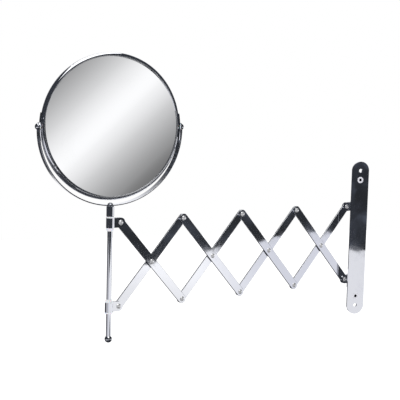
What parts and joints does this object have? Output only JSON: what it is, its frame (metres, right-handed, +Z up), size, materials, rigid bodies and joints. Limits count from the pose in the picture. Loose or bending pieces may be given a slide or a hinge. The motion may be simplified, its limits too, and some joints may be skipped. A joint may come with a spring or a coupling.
{
  "type": "extendable shaving mirror",
  "caption": "Wall-mounted round shaving mirror, double-sided, tilting in a yoke on a flat-bar scissor arm that swings, folds and extends.",
  "frame": {"origin": "centre of the wall plate's wall face", "axes": "+Z up, -Y into the wall, +Y into the room, +X to the right of a person who faces +Y"},
  "size_m": [0.4787, 0.1394, 0.3488],
  "materials": {
    "chrome": "polished chrome plate",
    "chrome_bar": "polished chrome plate on rolled steel strip",
    "chrome_rivet": "polished chrome, formed head",
    "mirror_glass": "silvered glass",
    "nylon": "white moulded nylon",
    "black_plastic": "black moulded plastic",
    "foam": "black foam sheet",
    "steel": "zinc plated steel"
  },
  "bodies": {
    "wall_mount": {"wall_plate": "chrome", "wall_post_upper": "chrome", "wall_post_lower": "chrome", "post_screws": "steel", "wall_rod": "chrome", "stop_collar": "chrome", "stop_collar_screw": "steel"},
    "wall_lower_sleeve": {"wall_lower_bracket": "chrome_bar", "wall_lower_bush": "nylon", "wall_lower_rivet": "chrome_rivet"},
    "wall_upper_sleeve": {"wall_upper_bracket": "chrome_bar", "wall_upper_bush": "nylon", "wall_upper_rivet": "chrome_rivet"},
    "head_lower_sleeve": {"head_lower_bracket": "chrome_bar", "head_lower_bush": "nylon", "head_lower_rivet": "chrome_rivet"},
    "head_upper_sleeve": {"head_upper_bracket": "chrome_bar", "head_upper_bush": "nylon", "head_upper_rivet": "chrome_rivet"},
    "front_bar_1": {"front_bar_1": "chrome_bar", "cross_rivet_1": "chrome_rivet", "front_washers_1": "nylon", "upper_rivet_1": "chrome_rivet"},
    "rear_bar_1": {"rear_bar_1": "chrome_bar", "lower_rivet_1": "chrome_rivet", "rear_washer_1": "nylon"},
    "front_bar_2": {"front_bar_2": "chrome_bar", "cross_rivet_2": "chrome_rivet", "front_washers_2": "nylon", "upper_rivet_2": "chrome_rivet"},
    "rear_bar_2": {"rear_bar_2": "chrome_bar", "lower_rivet_2": "chrome_rivet", "rear_washer_2": "nylon"},
    "front_bar_3": {"front_bar_3": "chrome_bar", "cross_rivet_3": "chrome_rivet", "front_washers_3": "nylon", "upper_rivet_3": "chrome_rivet"},
    "rear_bar_3": {"rear_bar_3": "chrome_bar", "lower_rivet_3": "chrome_rivet", "rear_washer_3": "nylon"},
    "front_bar_4": {"front_bar_4": "chrome_bar", "cross_rivet_4": "chrome_rivet", "front_washers_4": "nylon"},
    "rear_bar_4": {"rear_bar_4": "chrome_bar"},
    "head": {"head_rod": "chrome", "ball_knob": "chrome", "rod_collar": "chrome", "yoke": "chrome", "yoke_screw": "steel"},
    "mirror": {"mirror_rim": "chrome", "front_glass": "mirror_glass", "magnifying_glass": "mirror_glass", "spacer_ring": "black_plastic", "foam_pad": "foam", "pivot_cover_left": "chrome", "pivot_cover_right": "chrome", "tilt_screw_left": "chrome", "tilt_screw_right": "chrome", "tilt_washers": "nylon"}
  },
  "joints": [
    {"name": "wall_swing", "type": "hinge", "parent": "wall_mount", "child": "wall_lower_sleeve", "pos_m": [0, 0.018, 0], "axis": [0, 0, 1], "range_deg": [-222, 7]},
    {"name": "arm_extend", "type": "hinge", "parent": "wall_lower_sleeve", "child": "front_bar_1", "pos_m": [-0.01264, 0.01404, -0.0592], "axis": [0.299, -0.9542, 0], "range_deg": [-20, 39]},
    {"name": "cross_pivot_1", "type": "hinge", "parent": "front_bar_1", "child": "rear_bar_1", "pos_m": [-0.05627, 0.00037, -0.00833], "axis": [0.299, -0.9542, 0], "range_deg": [-78.5, 40.5]},
    {"name": "lower_pivot_1", "type": "hinge", "parent": "rear_bar_1", "child": "front_bar_2", "pos_m": [-0.0999, -0.01331, -0.0592], "axis": [0.299, -0.9542, 0], "range_deg": [-40.5, 78.5]},
    {"name": "cross_pivot_2", "type": "hinge", "parent": "front_bar_2", "child": "rear_bar_2", "pos_m": [-0.14353, -0.02698, -0.00833], "axis": [0.299, -0.9542, 0], "range_deg": [-78.5, 40.5]},
    {"name": "lower_pivot_2", "type": "hinge", "parent": "rear_bar_2", "child": "front_bar_3", "pos_m": [-0.18715, -0.04065, -0.0592], "axis": [0.299, -0.9542, 0], "range_deg": [-40.5, 78.5]},
    {"name": "cross_pivot_3", "type": "hinge", "parent": "front_bar_3", "child": "rear_bar_3", "pos_m": [-0.23078, -0.05432, -0.00833], "axis": [0.299, -0.9542, 0], "range_deg": [-78.5, 40.5]},
    {"name": "lower_pivot_3", "type": "hinge", "parent": "rear_bar_3", "child": "front_bar_4", "pos_m": [-0.27441, -0.06799, -0.0592], "axis": [0.299, -0.9542, 0], "range_deg": [-40.5, 78.5]},
    {"name": "cross_pivot_4", "type": "hinge", "parent": "front_bar_4", "child": "rear_bar_4", "pos_m": [-0.31804, -0.08167, -0.00833], "axis": [0.299, -0.9542, 0], "range_deg": [-78.5, 40.5]},
    {"name": "wall_upper_pivot", "type": "hinge", "parent": "rear_bar_1", "child": "wall_upper_sleeve", "pos_m": [-0.01264, 0.01404, 0.04255], "axis": [0.299, -0.9542, 0], "range_deg": [-20.5, 39.5]},
    {"name": "head_upper_pivot", "type": "hinge", "parent": "front_bar_4", "child": "head_upper_sleeve", "pos_m": [-0.36166, -0.09534, 0.04255], "axis": [0.299, -0.9542, 0], "range_deg": [-39.5, 20.5]},
    {"name": "head_lower_pivot", "type": "hinge", "parent": "rear_bar_4", "child": "head_lower_sleeve", "pos_m": [-0.36166, -0.09534, -0.0592], "axis": [0.299, -0.9542, 0], "range_deg": [-20.5, 39.5]},
    {"name": "head_swivel", "type": "hinge", "parent": "head_upper_sleeve", "child": "head", "pos_m": [-0.37431, -0.0993, 0.04255], "axis": [0, 0, 1], "continuous": true},
    {"name": "mirror_tilt", "type": "hinge", "parent": "head", "child": "mirror", "pos_m": [-0.37431, -0.0993, 0.15621], "axis": [0.9903, 0.1392, 0], "continuous": true}
  ],
  "couplings": [
    {"joint": "cross_pivot_1", "follows": "arm_extend", "ratio": -2},
    {"joint": "lower_pivot_1", "follows": "arm_extend", "ratio": 2},
    {"joint": "cross_pivot_2", "follows": "arm_extend", "ratio": -2},
    {"joint": "lower_pivot_2", "follows": "arm_extend", "ratio": 2},
    {"joint": "cross_pivot_3", "follows": "arm_extend", "ratio": -2},
    {"joint": "lower_pivot_3", "follows": "arm_extend", "ratio": 2},
    {"joint": "cross_pivot_4", "follows": "arm_extend", "ratio": -2},
    {"joint": "wall_upper_pivot", "follows": "arm_extend", "ratio": 1},
    {"joint": "head_upper_pivot", "follows": "arm_extend", "ratio": -1},
    {"joint": "head_lower_pivot", "follows": "arm_extend", "ratio": 1}
  ]
}
